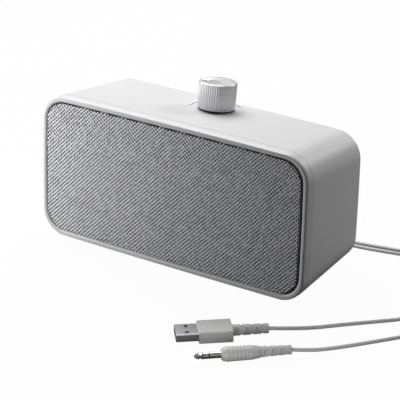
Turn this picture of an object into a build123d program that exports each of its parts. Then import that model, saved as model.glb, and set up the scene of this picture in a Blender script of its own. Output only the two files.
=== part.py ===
"""Desktop speaker: one cabinet with two full-range drivers, a volume knob on
top, and two leads to a USB-A plug and a 3.5 mm plug.  Millimetres, +Z up.
The origin is on the desk, midway across and midway front to back.

The front face leans back by `lean`, and everything behind it (grille, baffle,
drivers) is set out on planes parallel to it.  The knob and the amplifier
board are set out on the plane of the sloping top.
"""
import os
from math import asin, atan, atan2, cos, degrees, pi, radians, sin, tan

from build123d import *

os.makedirs("parts", exist_ok=True)

# ---- cabinet ---------------------------------------------------------------
width = 176.0
height = 86.0
depth = 65.4
lean = 2.62              # degrees that the front leans back
side_taper = 3.7         # each side runs in by this, front to rear
top_fall = 9.5           # the top runs down by this, front to rear
corner_radius = 15.4
side_crown = 0.42        # bulge of each side
top_crown = 0.53         # bulge of the top and of the base
wall = 2.2
rear_edge_radius = 1.8
foot_height = 1.8
foot_radius = 5.0
foot_inset = 24.0        # from each end of the cabinet
front_foot_setback = 14.0
rear_foot_setback = 50.0

# ---- front -----------------------------------------------------------------
bezel_depth = 6.2
bezel_edge_across = 1.3  # the long soft edge comes in this far on the front
bezel_edge_back = 5.6    # and runs this far back along the sides
bezel_edge_steps = 7
bezel_lip_radius = 1.5   # round edge of the opening, towards the cloth
parting_gap = 0.3
rim_side = 3.45
rim_top = 3.8
opening_radius = 12.3
tongue_clearance = 0.1
tongue_end = 11.0
grille_recess = 0.25
grille_clearance = 0.35
cloth_thickness = 0.4
grille_thickness = 1.5
grille_hole = 5.4
grille_pitch = 7.5
divider_thickness = 2.4
divider_clearance = 6.0  # under the amplifier board
felt_width = 55.0
felt_height = 50.0
felt_thickness = 6.0
baffle_front = 8.2
baffle_thickness = 2.6
baffle_clearance = 0.15
pad_radius = 2.6
pad_reach = 78.0
pad_rise = 15.0

# ---- drivers, depths measured back from the flange's front -------------------
driver_spacing = 92.0
flange_radius = 28.4
flange_thickness = 1.2
basket_throat = 22.4
basket_wall = 0.9
basket_depth = 12.5
basket_rear_radius = 15.6
driver_hole_clearance = 0.3
surround_inner = 18.3
surround_outer = 22.2
surround_thickness = 0.4
gasket_width = 1.8
gasket_thickness = 0.8
cone_thickness = 0.5
cone_neck_depth = 5.4
dust_cap_radius = 8.2
coil_radius = 6.4        # middle of the voice coil's wall
coil_wall = 0.5
coil_length = 11.0
coil_gap = 0.22          # air each side of the coil
plate_radius = 14.0
plate_thickness = 2.5
magnet_radius = 16.0
magnet_thickness = 6.0
magnet_bore = 9.0
spider_depth = 8.4
spider_radius = 17.0
driver_screw_circle = 26.2
screw_radius = 1.0
screw_head_radius = 1.8
screw_head_height = 1.2
screw_length = 4.6
screw_play = 0.1
screw_post_radius = 3.2
screw_post_inset = 9.5   # the posts lie this far in from the sides
low_post_rise = 13.5
high_post_drop = 19.5
thread_play = 0.03
seat_thickness = 1.2     # under the dish
seat_margin = 1.0
baffle_screw_length = 9.0

# ---- knob and amplifier, heights measured up from the sloping top --------------
knob_setback = 46.7      # along the top, from its front edge
knob_radius = 10.8
knob_top = 15.7
knob_lift = 0.35
knob_edge_radius = 0.8
knob_dot_radius = 0.75
knob_dot_reach = 6.8
knob_dot_angle = -150.0  # degrees from +X, at the off position
dish_radius = 15.4
dish_depth = 0.55
shaft_radius = 3.0
shaft_play = 0.05
bushing_radius = 3.5
bushing_top = 3.2
nut_radius = 5.6
nut_height = 1.8
washer_thickness = 0.4
knob_recess_radius = 6.6
knob_recess_height = 4.4
pot_radius = 8.0
pot_height = 6.5
board_drop = 15.0        # top surface to the board's upper face
board_thickness = 1.6
board_width = 66.0
board_length = 32.0
board_forward = 6.0      # the board's middle lies this far in front of the knob
board_post_radius = 2.8
chip_height = 1.4
chip_leg_reach = 5.6
chip_leg_pitch = 1.27
capacitor_radius = 2.5
capacitor_height = 7.0
socket_height = 6.0
board_post_inset = 4.0
light_radius = 0.8
light_play = 0.05
light_position = (6.3, -12.2)

# ---- leads and plugs -----------------------------------------------------------
cord_radius = 1.05
gland_spacing = 7.0
gland_x = 34.0
gland_height = 8.0       # above the desk
gland_nose = 3.0
gland_flange_radius = 3.4
coil_middle_radius = 12.6
coil_columns = 5
coil_layers = 2
tie_thickness = 0.5
tie_width = 4.0
usb_width, usb_height, usb_shell_length = 12.0, 4.5, 12.0
usb_wall = 0.3
usb_hole = 1.9
usb_hole_reach = 3.2
usb_grip_chamfer = 0.35
usb_grip_width, usb_grip_height, usb_grip_length = 14.6, 6.8, 18.2
relief_length = 19.5
relief_taper = 0.45
relief_core = 1.5
relief_slots = 3
relief_slot_width = 1.5
usb_relief_radius = 3.1
jack_radius = 1.75
jack_length = 14.0
jack_grip_radius = 4.0
jack_grip_length = 20.5
jack_relief_length = 16.4
jack_relief_radius = 2.9

# ---- planes ----------------------------------------------------------------
lean_tan = tan(radians(lean))
middle = (depth + (height - top_fall) * lean_tan) / 2
FORWARD = Vector(0, -cos(radians(lean)), sin(radians(lean)))
UPWARD = Vector(0, sin(radians(lean)), cos(radians(lean)))


def level(setback):
    """Plane parallel to the front, its foot `setback` behind the front's foot."""
    return Plane(origin=(0, setback - middle, foot_height), x_dir=(1, 0, 0), z_dir=FORWARD)


def ply(d):
    """Plane parallel to the front, `d` straight behind it."""
    return level(0).offset(-d)


def half_width(setback):
    return width / 2 - side_taper * setback / depth


def rise(setback):
    """Length of the leaning section from base to top at a setback."""
    return (height - top_fall * setback / depth) / cos(radians(lean))


def outline(plane, w, low, high, radius):
    """Rounded rectangle with slightly bulging sides; w is its half width."""
    with BuildSketch(plane) as face:
        with BuildLine():
            ThreePointArc((-w, low), (0, low - top_crown), (w, low))
            ThreePointArc((w, low), (w + side_crown, (low + high) / 2), (w, high))
            ThreePointArc((w, high), (0, high + top_crown), (-w, high))
            ThreePointArc((-w, high), (-w - side_crown, (low + high) / 2), (-w, low))
        make_face()
        fillet(face.vertices(), radius)
    return face.sketch


def section(setback, inset, at=None):
    """The cabinet's outline at a setback, drawn in by `inset`."""
    return outline(level(setback if at is None else at), half_width(setback) - inset, inset,
                   rise(setback) - inset, max(corner_radius - inset, 2.0))


def opening(d, inset):
    """The grille opening's outline, drawn in by `inset`, `d` behind the front."""
    return outline(ply(d), width / 2 - rim_side - inset, rim_top + inset,
                   rise(0) - rim_top - inset, opening_radius - inset)


def write(part, label):
    part.label = label
    export_step(part, f"parts/{label}.step")


# ---- sloping top -----------------------------------------------------------
slope = atan(top_fall / (depth - top_fall * lean_tan))
TOP_BACK = Vector(0, cos(slope), -sin(slope))
TOP_UP = Vector(0, sin(slope), cos(slope))
front_top = Vector(0, height * lean_tan - middle, foot_height + height)
knob_centre = front_top + TOP_BACK * knob_setback + TOP_UP * top_crown


def top_plane(up, right=0.0, back=0.0):
    """Plane parallel to the sloping top, `up` above it at the knob's axis."""
    at = knob_centre + TOP_UP * up + Vector(right, 0, 0) + TOP_BACK * back
    return Plane(origin=at, x_dir=(1, 0, 0), z_dir=TOP_UP)


# ---- cabinet shell -----------------------------------------------------------
shell_front = bezel_depth + parting_gap
rear_inside = depth - wall
gland_y = depth + (gland_height - foot_height) * lean_tan - middle
gland_x_places = [gland_x, gland_x + gland_spacing]
gland_v = (gland_height - foot_height) / cos(radians(lean))
board_post_places = [
    (sx * (board_width / 2 - board_post_inset),
     sy * (board_length / 2 - board_post_inset) - board_forward)
    for sx in (-1, 1) for sy in (-1, 1)]
post_places = [(sx * (width / 2 - screw_post_inset), v)
               for sx in (-1, 1) for v in (low_post_rise, height - high_post_drop)]
baffle_back = baffle_front + baffle_thickness

with BuildPart() as cabinet_shell:
    loft([section(shell_front, 0), section(depth, 0)], ruled=True)
    fillet(cabinet_shell.faces().sort_by(Axis((0, 0, 0), -FORWARD))[-1].edges(), rear_edge_radius)
    loft([section(shell_front, wall), section(rear_inside, wall)], ruled=True, mode=Mode.SUBTRACT)
    # posts for the baffle's screws, standing on the rear wall
    with BuildSketch(ply(baffle_back)):
        with Locations(*post_places):
            Circle(screw_post_radius)
    extrude(amount=baffle_back - rear_inside * cos(radians(lean)) - wall / 2)
    with BuildSketch(ply(baffle_back)):
        with Locations(*post_places):
            Circle(screw_radius + thread_play)
    extrude(amount=-baffle_screw_length, mode=Mode.SUBTRACT)
    # posts for the amplifier board, hanging from the top
    with BuildSketch(top_plane(-board_drop)):
        with Locations(*board_post_places):
            Circle(board_post_radius)
    extrude(amount=board_drop - wall / 2)
    with BuildSketch(top_plane(-board_drop)):
        with Locations(*board_post_places):
            Circle(screw_radius)
    extrude(amount=8.0, mode=Mode.SUBTRACT)
    # seat under the dish, the dish, and the holes for the bushing and the light
    with BuildSketch(top_plane(-wall - seat_thickness)):
        Circle(dish_radius + seat_margin)
    extrude(amount=seat_thickness + wall / 3)
    with BuildSketch(top_plane(2.0)):
        Circle(dish_radius)
    extrude(amount=-2.0 - dish_depth, mode=Mode.SUBTRACT)
    with BuildSketch(top_plane(2.0)):
        Circle(bushing_radius + 0.1)
        with Locations(light_position):
            Circle(light_radius + light_play)
    extrude(amount=-8.0, mode=Mode.SUBTRACT)
    # two holes for the glands
    with BuildSketch(level(depth)):
        with Locations(*[(x, gland_v) for x in gland_x_places]):
            Circle(gland_flange_radius - 1.2)
    extrude(amount=4.0, mode=Mode.SUBTRACT, both=True)
write(cabinet_shell.part, "cabinet_shell")

# ---- bezel, grille and baffle --------------------------------------------------
with BuildPart() as front_bezel:
    # the edge is a quarter of a long ellipse, cut where its slope turns by equal steps
    edge_sections = []
    for step in range(bezel_edge_steps, -1, -1):
        turned = radians(90.0 * step / bezel_edge_steps)
        along_edge = atan2(bezel_edge_back * sin(turned), bezel_edge_across * cos(turned))
        edge_sections.append(section(bezel_edge_back * (1 - sin(along_edge)),
                                     bezel_edge_across * (1 - cos(along_edge))))
    loft(edge_sections + [section(bezel_depth, 0)], ruled=True)
    tongue_inset = wall + tongue_clearance
    loft([section(bezel_depth, tongue_inset), section(tongue_end, tongue_inset)], ruled=True)
    extrude(opening(-1.0, 0), amount=-(tongue_end + 2.0), mode=Mode.SUBTRACT)
    front_face = front_bezel.faces().sort_by(Axis((0, 0, 0), FORWARD))[-1]
    fillet(front_face.inner_wires()[0].edges(), bezel_lip_radius)
write(front_bezel.part, "front_bezel")

hole_columns = int((width - 2 * rim_side - 2 * opening_radius) / grille_pitch)
hole_rows = int((height - 2 * rim_top - 2 * opening_radius) / (grille_pitch * 0.866)) + 4
grille_front = grille_recess + cloth_thickness
with BuildPart() as grille_frame:
    extrude(opening(grille_front, grille_clearance), amount=-grille_thickness)
    with BuildSketch(ply(grille_front)):
        with Locations((0, rise(0) / 2)):
            with HexLocations(grille_pitch / 2, hole_columns, hole_rows):
                Circle(grille_hole / 2)
    extrude(amount=-grille_thickness, mode=Mode.SUBTRACT)
write(grille_frame.part, "grille_frame")

with BuildPart() as grille_cloth:
    extrude(opening(grille_recess, grille_clearance), amount=-cloth_thickness)
write(grille_cloth.part, "grille_cloth")

driver_v = rise(baffle_front) / 2
driver_places = [(-driver_spacing / 2, driver_v), (driver_spacing / 2, driver_v)]
flange_front = baffle_front - flange_thickness
with BuildPart() as front_baffle:
    extrude(opening(baffle_front, baffle_clearance), amount=-baffle_thickness)
    # pads that carry the grille's back
    with BuildSketch(ply(grille_front + grille_thickness)):
        with Locations(*[(sx * pad_reach, driver_v + sy * pad_rise)
                         for sx in (-1, 0, 1) for sy in (-1, 1)]):
            Circle(pad_radius)
    extrude(amount=-(baffle_front - grille_front - grille_thickness))
    with BuildSketch(ply(baffle_front)):
        with Locations(*driver_places):
            Circle(basket_throat + basket_wall + driver_hole_clearance)
            with PolarLocations(driver_screw_circle, 4, start_angle=45):
                Circle(screw_radius + thread_play)
        with Locations(*post_places):
            Circle(screw_radius + screw_play)
    extrude(amount=-baffle_thickness, mode=Mode.SUBTRACT)
write(front_baffle.part, "front_baffle")

# ---- drivers -----------------------------------------------------------------
top_plate_front = basket_depth
magnet_front = top_plate_front + plate_thickness
yoke_front = magnet_front + magnet_thickness
yoke_back = yoke_front + plate_thickness
coil_inner = coil_radius - coil_wall / 2
coil_outer = coil_radius + coil_wall / 2
gap_inner = coil_inner - coil_gap
gap_outer = coil_outer + coil_gap


def driver_frame(x):
    """Plane through a driver's axis: local x is radius, local y is depth."""
    base = ply(flange_front)
    at = base.origin + Vector(x, 0, 0) + UPWARD * driver_v
    return Plane(origin=at, x_dir=(1, 0, 0), z_dir=UPWARD)


def driver_axis(x):
    return Axis(driver_frame(x).origin, -FORWARD)


def turned(side, name, x, outline):
    """Ring or disc turned about a driver's axis from (radius, depth) points."""
    with BuildPart() as piece:
        with BuildSketch(driver_frame(x)):
            with BuildLine():
                Polyline(*outline, close=True)
            make_face()
        revolve(axis=driver_axis(x))
    write(piece.part, f"{side}_{name}")


for side, x in (("left", -driver_spacing / 2), ("right", driver_spacing / 2)):
    frame_plane = driver_frame(x)
    with BuildPart() as basket:
        with BuildSketch(frame_plane):
            with BuildLine():
                Polyline(
                    (basket_throat, 0), (flange_radius, 0), (flange_radius, flange_thickness),
                    (basket_throat + basket_wall, flange_thickness),
                    (spider_radius + 2.0, spider_depth + 0.5),
                    (basket_rear_radius, basket_depth), (coil_outer + 1.2, basket_depth),
                    (coil_outer + 1.2, basket_depth - 1.0), (basket_rear_radius - 1.0, basket_depth - 1.0),
                    (spider_radius - 0.4, spider_depth + 0.5), (spider_radius + 0.6, spider_depth + 0.5),
                    close=True)
            make_face()
        revolve(axis=driver_axis(x))
        flange_plane = Plane(origin=frame_plane.origin, x_dir=(1, 0, 0), z_dir=FORWARD)
        with BuildSketch(flange_plane):
            with PolarLocations(driver_screw_circle, 4, start_angle=45):
                Circle(screw_radius + screw_play)
        extrude(amount=-flange_thickness, mode=Mode.SUBTRACT)
        # four windows through the sloping wall
        with BuildSketch(flange_plane.offset(-basket_depth - 1)):
            with PolarLocations(0, 4):
                with BuildLine():
                    inner = CenterArc((0, 0), spider_radius + 2.2, -28, 56)
                    outer = CenterArc((0, 0), basket_throat - 0.8, -28, 56)
                    Line(inner @ 0, outer @ 0)
                    Line(inner @ 1, outer @ 1)
                make_face()
        extrude(amount=basket_depth - flange_thickness, mode=Mode.SUBTRACT)
    write(basket.part, f"{side}_basket")
    turned(side, "surround", x, [
        (surround_inner, -surround_thickness), (surround_inner + 0.7, -surround_thickness - 1.1),
        (surround_inner + 1.5, -surround_thickness - 1.5), (surround_outer - 1.2, -surround_thickness - 1.5),
        (surround_outer - 0.4, -surround_thickness - 1.1), (surround_outer, -surround_thickness),
        (surround_outer + gasket_width, -surround_thickness), (surround_outer + gasket_width, 0),
        (surround_outer - 0.3, 0), (surround_outer - 0.8, -1.1), (surround_outer - 1.4, -1.4),
        (surround_inner + 1.7, -1.4), (surround_inner + 1.1, -1.1), (surround_inner + 0.4, 0),
        (surround_inner - 1.2, 0), (surround_inner - 1.2, -surround_thickness)])
    turned(side, "cone", x, [
        (surround_inner + 0.1, 0), (surround_inner - 1.3, 0), (coil_outer, cone_neck_depth),
        (coil_outer, cone_neck_depth + cone_thickness * 1.2),
        (surround_inner + 0.1, cone_thickness)])
    cap_front = cone_neck_depth - 3.4
    cap_rim = (cone_neck_depth * (surround_inner - 1.3 - dust_cap_radius)
               / (surround_inner - 1.3 - coil_outer)) - cone_thickness * 0.6
    cap_rise = cap_rim - cap_front
    cap_sphere = (dust_cap_radius ** 2 + cap_rise ** 2) / (2 * cap_rise)
    cap_angle = degrees(asin(dust_cap_radius / cap_sphere))
    cap_centre = (0, cap_front + cap_sphere)
    with BuildPart() as dust_cap:
        with BuildSketch(frame_plane):
            with BuildLine():
                front = CenterArc(cap_centre, cap_sphere, -90, cap_angle)
                back = CenterArc(cap_centre, cap_sphere - cone_thickness, -90, cap_angle)
                Line(front @ 1, back @ 1)
                Line(front @ 0, back @ 0)
            make_face()
        revolve(axis=driver_axis(x))
    write(dust_cap.part, f"{side}_dust_cap")
    turned(side, "voice_coil", x, [
        (coil_inner, cone_neck_depth - 0.4), (coil_outer, cone_neck_depth - 0.4),
        (coil_outer, cone_neck_depth + coil_length), (coil_inner, cone_neck_depth + coil_length)])
    turned(side, "spider", x, [
        (coil_outer, spider_depth), (coil_outer + 2, spider_depth - 0.6),
        (coil_outer + 4, spider_depth + 0.2),
        (coil_outer + 6, spider_depth - 0.6), (coil_outer + 8, spider_depth + 0.1),
        (spider_radius + 0.2, spider_depth + 0.1), (spider_radius + 0.2, spider_depth + 0.5),
        (coil_outer + 8, spider_depth + 0.5), (coil_outer + 6, spider_depth - 0.2),
        (coil_outer + 4, spider_depth + 0.6), (coil_outer + 2, spider_depth - 0.2),
        (coil_outer, spider_depth + 0.4)])
    turned(side, "top_plate", x, [
        (gap_outer, top_plate_front), (plate_radius, top_plate_front),
        (plate_radius, magnet_front), (gap_outer, magnet_front)])
    turned(side, "magnet", x, [
        (magnet_bore, magnet_front), (magnet_radius, magnet_front),
        (magnet_radius, yoke_front), (magnet_bore, yoke_front)])
    turned(side, "yoke", x, [
        (0, top_plate_front), (gap_inner, top_plate_front), (gap_inner, yoke_front),
        (magnet_radius - 0.6, yoke_front), (magnet_radius - 0.6, yoke_back), (0, yoke_back)])

with BuildPart() as driver_gaskets:
    for x in (-driver_spacing / 2, driver_spacing / 2):
        gasket_plane = Plane(origin=driver_frame(x).origin + FORWARD * surround_thickness,
                             x_dir=(1, 0, 0), z_dir=FORWARD)
        with BuildSketch(gasket_plane):
            Circle(surround_outer + gasket_width)
            Circle(surround_outer + 0.2, mode=Mode.SUBTRACT)
        extrude(amount=gasket_thickness)
write(driver_gaskets.part, "driver_gaskets")

with BuildPart() as driver_terminals:
    for x in (-driver_spacing / 2, driver_spacing / 2):
        behind = Plane(origin=driver_frame(x).origin - FORWARD * basket_depth,
                       x_dir=(1, 0, 0), z_dir=-FORWARD)
        with BuildSketch(behind):
            with Locations((0, basket_rear_radius + 2.2)):
                Rectangle(10, 6)
        extrude(amount=1.0)
        with BuildSketch(behind.offset(1.0)):
            with Locations((-2.6, basket_rear_radius + 3.2), (2.6, basket_rear_radius + 3.2)):
                Rectangle(2.2, 0.8)
        extrude(amount=4.0)
write(driver_terminals.part, "driver_terminals")

with BuildPart() as driver_screws:
    for x in (-driver_spacing / 2, driver_spacing / 2):
        face = Plane(origin=driver_frame(x).origin, x_dir=(1, 0, 0), z_dir=FORWARD)
        with BuildSketch(face):
            with PolarLocations(driver_screw_circle, 4, start_angle=45):
                Circle(screw_radius)
        extrude(amount=-screw_length)
        with BuildSketch(face):
            with PolarLocations(driver_screw_circle, 4, start_angle=45):
                Circle(screw_head_radius)
        extrude(amount=screw_head_height, taper=12)
write(driver_screws.part, "driver_screws")

with BuildPart() as baffle_screws:
    with BuildSketch(ply(baffle_front)):
        with Locations(*post_places):
            Circle(screw_radius)
    extrude(amount=-(baffle_thickness + baffle_screw_length - 1.0))
    with BuildSketch(ply(baffle_front)):
        with Locations(*post_places):
            Circle(screw_head_radius)
    extrude(amount=screw_head_height, taper=12)
write(baffle_screws.part, "baffle_screws")

# ---- inside the cabinet --------------------------------------------------------
divider_top = height - top_fall - board_drop - divider_clearance
with BuildPart() as divider:
    with BuildSketch(level(rear_inside)):
        with Locations((0, (wall + divider_top) / 2)):
            Rectangle(divider_thickness, divider_top - wall - 0.2)
    extrude(amount=(rear_inside - 0.05) * cos(radians(lean)) - baffle_back)
write(divider.part, "divider")

for side, sx in (("left", -1), ("right", 1)):
    with BuildPart() as damping:
        with BuildSketch(level(rear_inside)):
            with Locations((sx * driver_spacing / 2, (wall + 1.0 + felt_height / 2))):
                RectangleRounded(felt_width, felt_height, 4.0)
        extrude(amount=felt_thickness)
        with BuildSketch(level(rear_inside)):
            with Locations(*[(x, gland_v) for x in gland_x_places]):
                Circle(gland_flange_radius + 1.5)
        extrude(amount=felt_thickness, mode=Mode.SUBTRACT)
    write(damping.part, f"{side}_damping_felt")

with BuildPart() as amplifier_board:
    with BuildSketch(top_plane(-board_drop)):
        with Locations((0, -board_forward)):
            Rectangle(board_width, board_length)
        with Locations(*board_post_places):
            Circle(screw_radius + screw_play, mode=Mode.SUBTRACT)
    extrude(amount=-board_thickness)
write(amplifier_board.part, "amplifier_board")

chip_x, chip_y = -19.0, 4.0 - board_forward
with BuildPart() as amplifier_chip:
    with BuildSketch(top_plane(-board_drop)):
        with Locations((chip_x, chip_y)):
            Rectangle(10, 8)
    extrude(amount=chip_height)
    with BuildSketch(top_plane(-board_drop)):
        with Locations(*[(chip_x + sx * chip_leg_reach, chip_y + chip_leg_pitch * i)
                         for sx in (-1, 1) for i in (-2, -1, 0, 1, 2)]):
            Rectangle(1.2, 0.5)
    extrude(amount=0.5)
write(amplifier_chip.part, "amplifier_chip")

with BuildPart() as capacitors:
    with BuildSketch(top_plane(-board_drop)):
        with Locations((20, -board_forward + 8), (27, -board_forward), (-28.5, -board_forward - 4)):
            Circle(capacitor_radius)
    extrude(amount=capacitor_height)
    fillet(capacitors.faces().sort_by(Axis((0, 0, 0), TOP_UP))[-3:].edges(), 0.4)
write(capacitors.part, "capacitors")

socket_places = [(x, -board_forward - 12.0) for x in (-16, 0, 16)]
with BuildPart() as wire_sockets:
    with BuildSketch(top_plane(-board_drop)):
        with Locations(*socket_places):
            Rectangle(8, 5)
    extrude(amount=socket_height)
    with BuildSketch(top_plane(-board_drop + socket_height)):
        with Locations(*socket_places):
            Rectangle(6.4, 3.4)
    extrude(amount=-4.5, mode=Mode.SUBTRACT)
write(wire_sockets.part, "wire_sockets")

with BuildPart() as board_screws:
    below = top_plane(-board_drop - board_thickness)
    with BuildSketch(below):
        with Locations(*board_post_places):
            Circle(screw_radius - 0.02)
    extrude(amount=board_thickness + 6.0)
    with BuildSketch(below):
        with Locations(*board_post_places):
            Circle(screw_head_radius)
    extrude(amount=-screw_head_height, taper=12)
write(board_screws.part, "board_screws")

# ---- volume control ----------------------------------------------------------
pot_top = -board_drop + pot_height
with BuildPart() as volume_pot:
    with BuildSketch(top_plane(-board_drop)):
        Circle(pot_radius)
        with Locations((0, -pot_radius)):
            Rectangle(pot_radius * 1.3, 4)
    extrude(amount=pot_height)
    with BuildSketch(top_plane(pot_top - 3.0)):
        Circle(shaft_radius + 0.4)
    extrude(amount=3.0, mode=Mode.SUBTRACT)
write(volume_pot.part, "volume_pot")

with BuildPart() as pot_bushing:
    with BuildSketch(top_plane(pot_top)):
        Circle(bushing_radius)
        Circle(shaft_radius + shaft_play, mode=Mode.SUBTRACT)
    extrude(amount=bushing_top - pot_top)
write(pot_bushing.part, "pot_bushing")

with BuildPart() as pot_washer:
    with BuildSketch(top_plane(-dish_depth)):
        Circle(nut_radius)
        Circle(bushing_radius + 0.1, mode=Mode.SUBTRACT)
    extrude(amount=washer_thickness)
write(pot_washer.part, "pot_washer")

with BuildPart() as pot_nut:
    with BuildSketch(top_plane(-dish_depth + washer_thickness)):
        RegularPolygon(nut_radius, 6)
        Circle(bushing_radius + 0.02, mode=Mode.SUBTRACT)
    extrude(amount=nut_height)
write(pot_nut.part, "pot_nut")

shaft_top = knob_top - 4.0
with BuildPart() as pot_shaft:
    with BuildSketch(top_plane(pot_top - 2.6)):
        Circle(shaft_radius)
    extrude(amount=shaft_top - pot_top + 2.6)
    with BuildSketch(top_plane(knob_recess_height + 1.0)):
        with Locations((0, shaft_radius + 1.5)):
            Rectangle(8, 6)
    extrude(amount=shaft_top, mode=Mode.SUBTRACT)
write(pot_shaft.part, "pot_shaft")

dot_at = (knob_dot_reach * cos(radians(knob_dot_angle)), knob_dot_reach * sin(radians(knob_dot_angle)))
with BuildPart() as volume_knob:
    with BuildSketch(top_plane(knob_lift)):
        Circle(knob_radius)
    extrude(amount=knob_top - knob_lift)
    fillet(volume_knob.faces().sort_by(Axis((0, 0, 0), TOP_UP))[-1].edges(), knob_edge_radius)
    with BuildSketch(top_plane(knob_lift)):
        Circle(knob_recess_radius)
    extrude(amount=knob_recess_height - knob_lift, mode=Mode.SUBTRACT)
    with BuildSketch(top_plane(knob_recess_height)) as shaft_hole:
        Circle(shaft_radius)
    extrude(amount=shaft_top - knob_recess_height, mode=Mode.SUBTRACT)
    with BuildSketch(top_plane(knob_recess_height + 1.0)):
        with BuildLine():
            chord = CenterArc((0, 0), shaft_radius, 30, 120)
            Line(chord @ 0, chord @ 1)
        make_face()
    extrude(amount=shaft_top - knob_recess_height - 1.0)
    with BuildSketch(top_plane(knob_top)):
        with Locations(dot_at):
            Circle(knob_dot_radius)
    extrude(amount=-0.6, mode=Mode.SUBTRACT)
write(volume_knob.part, "volume_knob")

with BuildPart() as knob_dot:
    with BuildSketch(top_plane(knob_top)):
        with Locations(dot_at):
            Circle(knob_dot_radius)
    extrude(amount=-0.6)
write(knob_dot.part, "knob_dot")

with BuildPart() as power_light:
    with BuildSketch(top_plane(-dish_depth)):
        with Locations(light_position):
            Circle(light_radius)
    extrude(amount=-(wall + 1.2 - dish_depth + 3.0))
write(power_light.part, "power_light")

# ---- feet ----------------------------------------------------------------------
def foot(setback):
    """Pair of round rubber feet under the base, one each side."""
    with BuildPart() as pair:
        with BuildSketch(Plane.XY):
            with Locations(*[(sx * (width / 2 - foot_inset), setback - middle) for sx in (-1, 1)]):
                Circle(foot_radius)
        extrude(amount=foot_height - top_crown)
        chamfer(pair.faces().sort_by(Axis.Z)[:2].edges(), 0.5)
    return pair.part


write(foot(front_foot_setback), "front_feet")
write(foot(rear_foot_setback), "rear_feet")

# ---- glands and leads ------------------------------------------------------------
with BuildPart() as cord_glands:
    for x in gland_x_places:
        outside = Plane(origin=level(depth).origin + Vector(x, 0, 0) + UPWARD * gland_v,
                        x_dir=(1, 0, 0), z_dir=-FORWARD)
        with BuildSketch(outside):
            Circle(gland_flange_radius)
        extrude(amount=1.0)
        with BuildSketch(outside.offset(1.0)):
            Circle(gland_flange_radius - 0.8)
        extrude(amount=gland_nose - 1.0, taper=18)
        with BuildSketch(outside):
            Circle(gland_flange_radius - 1.3)
        extrude(amount=-wall * cos(radians(lean)))
        with BuildSketch(outside.offset(-wall * cos(radians(lean)))):
            Circle(gland_flange_radius - 0.4)
        extrude(amount=-1.0)
write(cord_glands.part, "cord_glands")

gland_tip_y = gland_y + gland_nose * cos(radians(lean))
gland_tip_z = gland_height - gland_nose * sin(radians(lean))
usb_coil_centre = (140.0, 42.0)
audio_coil_centre = (181.0, 36.0)
cord_pitch = 2 * cord_radius
outer_turn = coil_middle_radius + (coil_columns - 1) / 2 * cord_pitch
coil_floor = tie_thickness
low_turn = coil_floor + cord_radius
high_turn = low_turn + cord_pitch
desk = cord_radius

usb_tip, usb_angle = Vector(48.5, -98.6, usb_grip_height / 2), 40.0
jack_tip, jack_angle = Vector(71.1, -114.6, jack_grip_radius), 41.6
usb_plug_length = usb_shell_length + usb_grip_length + relief_length
jack_plug_length = jack_length + jack_grip_length + jack_relief_length


def along(tip, angle, distance):
    """Plane across a plug, `distance` from its tip; local y is up."""
    run = Vector(cos(radians(angle)), sin(radians(angle)), 0)
    return Plane(origin=tip + run * distance, x_dir=(-run.Y, run.X, 0), z_dir=run)


usb_end = along(usb_tip, usb_angle, usb_plug_length).origin
jack_end = along(jack_tip, jack_angle, jack_plug_length).origin

# each lead runs from its gland to its coil, then from the coil to its plug
usb_rear = [
    (gland_x + gland_spacing, gland_tip_y, gland_tip_z), (41.0, 40.3, 7.4), (44.1, 45.6, 6.0),
    (49.6, 48.5, 4.0), (57.5, 49.3, 2.0), (66.5, 48.9, desk), (76.0, 49.1, desk), (88.0, 51.3, desk),
    (100.8, 54.1, desk), (113.0, 56.6, desk), (126.0, 58.4, desk + 0.2),
    (usb_coil_centre[0], usb_coil_centre[1] + outer_turn, low_turn)]
usb_front = [
    (usb_coil_centre[0] + outer_turn, usb_coil_centre[1], high_turn), (157.0, 27.0, 1.9),
    (155.0, 12.0, desk), (149.0, -2.5, desk), (138.5, -15.4, desk), (125.3, -28.2, desk),
    (114.6, -38.6, desk), (104.8, -48.9, desk), (95.4, -58.2, 2.0), (usb_end.X, usb_end.Y, usb_end.Z)]
audio_rear = [
    (gland_x, gland_tip_y, gland_tip_z), (34.0, 41.2, 7.3), (37.6, 47.6, 5.8), (44.0, 51.6, 3.9),
    (52.5, 53.0, 2.1), (62.5, 52.7, desk), (72.5, 53.2, desk), (84.5, 55.4, desk), (98.7, 58.2, desk),
    (111.5, 61.3, desk), (124.5, 64.0, desk), (138.0, 65.0, desk), (150.5, 63.6, desk),
    (161.5, 59.3, desk), (171.0, 54.8, desk + 0.2),
    (audio_coil_centre[0], audio_coil_centre[1] + outer_turn, low_turn)]
audio_front = [
    (audio_coil_centre[0] + outer_turn, audio_coil_centre[1], high_turn), (196.8, 21.0, 1.9),
    (189.5, 7.5, desk), (176.2, -4.6, desk), (160.5, -17.6, desk), (147.6, -33.0, desk),
    (138.8, -44.6, desk), (130.4, -55.2, desk), (122.6, -64.6, desk), (116.0, -73.2, 2.1),
    (jack_end.X, jack_end.Y, jack_end.Z)]


def cord_tube(name, points):
    """Round tube along straight runs joined by arcs as large as the runs allow."""
    places = [Vector(*p) for p in points]
    runs = [b - a for a, b in zip(places, places[1:])]
    radii = [0.45 * min(a.length, b.length) / tan(radians(a.get_angle(b) / 2))
             for a, b in zip(runs, runs[1:])]
    print(name, "least bend radius", round(min(radii), 1),
          "in cord diameters", round(min(radii) / cord_pitch, 1))
    with BuildPart() as tube:
        with BuildLine() as route:
            FilletPolyline(*places, radius=radii)
        with BuildSketch(Plane(origin=route.line @ 0, z_dir=route.line % 0)):
            Circle(cord_radius)
        sweep()
    length = sum(edge.length for edge in route.edges())
    print(name, "length", round(length, 1), "volume over section times length",
          round(tube.part.volume / (pi * cord_radius ** 2 * length), 4))
    return tube.part, length


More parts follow.
